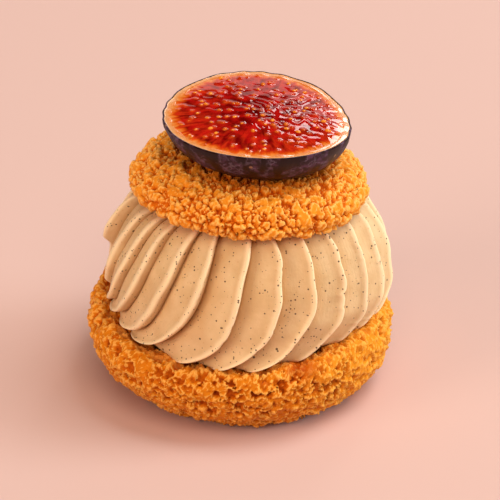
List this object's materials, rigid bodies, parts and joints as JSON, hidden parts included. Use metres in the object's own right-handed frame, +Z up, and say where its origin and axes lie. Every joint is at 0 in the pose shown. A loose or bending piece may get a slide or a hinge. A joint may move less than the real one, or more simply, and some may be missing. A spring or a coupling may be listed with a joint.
{
  "type": "filled choux bun",
  "caption": "Craquelin choux bun cut in two and filled with a swirl of piped vanilla cream, with half a fig, cut side up, on its lid.",
  "frame": {"origin": "centre of the bun's flat foot, on the surface it stands on", "axes": "+Z up through the bun; -Y towards the front, the side shown in the picture; +X to that side's right"},
  "size_m": [0.0727, 0.0737, 0.0707],
  "materials": {
    "base_crust": "baked choux crust, matt, rough and craggy",
    "vanilla_cream": "piped cream, satin, flecked with vanilla seeds",
    "lid_crust": "baked craquelin crumbs, matt, rough",
    "fig_skin": "dark fig skin with a pale bloom, pale flesh at the cut",
    "fig_pulp": "wet, glazed pulp with pale seeds"
  },
  "bodies": {
    "root": {"choux_base": "base_crust", "cream_swirl": "vanilla_cream", "choux_lid": "lid_crust", "fig_flesh": "fig_skin", "fig_pulp": "fig_pulp"}
  },
  "joints": []
}
